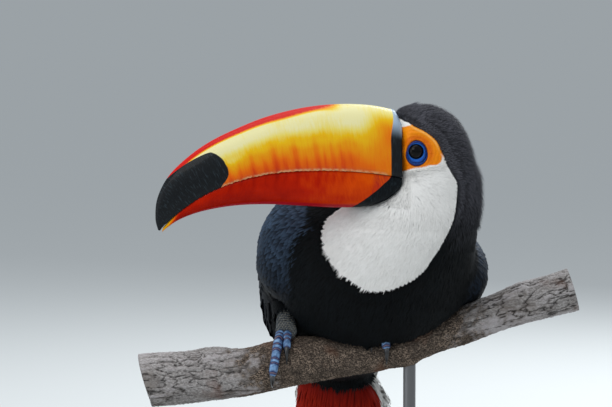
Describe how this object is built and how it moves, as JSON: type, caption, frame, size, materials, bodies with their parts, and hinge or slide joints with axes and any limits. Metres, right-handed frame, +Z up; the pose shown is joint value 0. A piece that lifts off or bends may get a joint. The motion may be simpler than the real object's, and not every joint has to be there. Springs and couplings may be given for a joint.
{
  "type": "toucan",
  "caption": "Life-size toco toucan at rest on a short cut length of branch, its long orange bill turned to its right, black with a white bib, held up by a plain display stand.",
  "frame": {"origin": "middle of the display stand's flat underside, on the floor", "axes": "+Z up; the bird faces -Y, and its bill points towards -X"},
  "size_m": [0.3547, 0.2648, 0.4205],
  "materials": {
    "black_plumage": "soft matte with a faint blue sheen",
    "white_plumage": "soft matte",
    "red_plumage": "soft matte",
    "bill_upper": "glossy horn",
    "bill_lower": "glossy horn",
    "eye": "wet gloss",
    "leg": "scaly, satin",
    "claw": "satin horn",
    "bark": "rough bark, sawn ends",
    "stand_wood": "satin dark stained",
    "stand_metal": "satin black"
  },
  "bodies": {
    "root": {"stand_base": "stand_wood", "stand_rod": "stand_metal", "stand_collar": "stand_metal", "perch": "bark", "leg_right": "leg", "leg_left": "leg", "claw_right_front_outer": "claw", "claw_right_front_inner": "claw", "claw_right_rear_outer": "claw", "claw_right_rear_inner": "claw", "claw_left_front_outer": "claw", "claw_left_front_inner": "claw", "claw_left_rear_outer": "claw", "claw_left_rear_inner": "claw", "bill_upper": "bill_upper", "bill_lower": "bill_lower", "eye_left": "eye", "eye_right": "eye", "wing_left": "black_plumage", "wing_right": "black_plumage", "head": "black_plumage", "bib": "white_plumage", "neck": "black_plumage", "trunk": "black_plumage", "undertail_coverts": "red_plumage", "uppertail_coverts": "white_plumage", "tail": "black_plumage"}
  },
  "joints": []
}
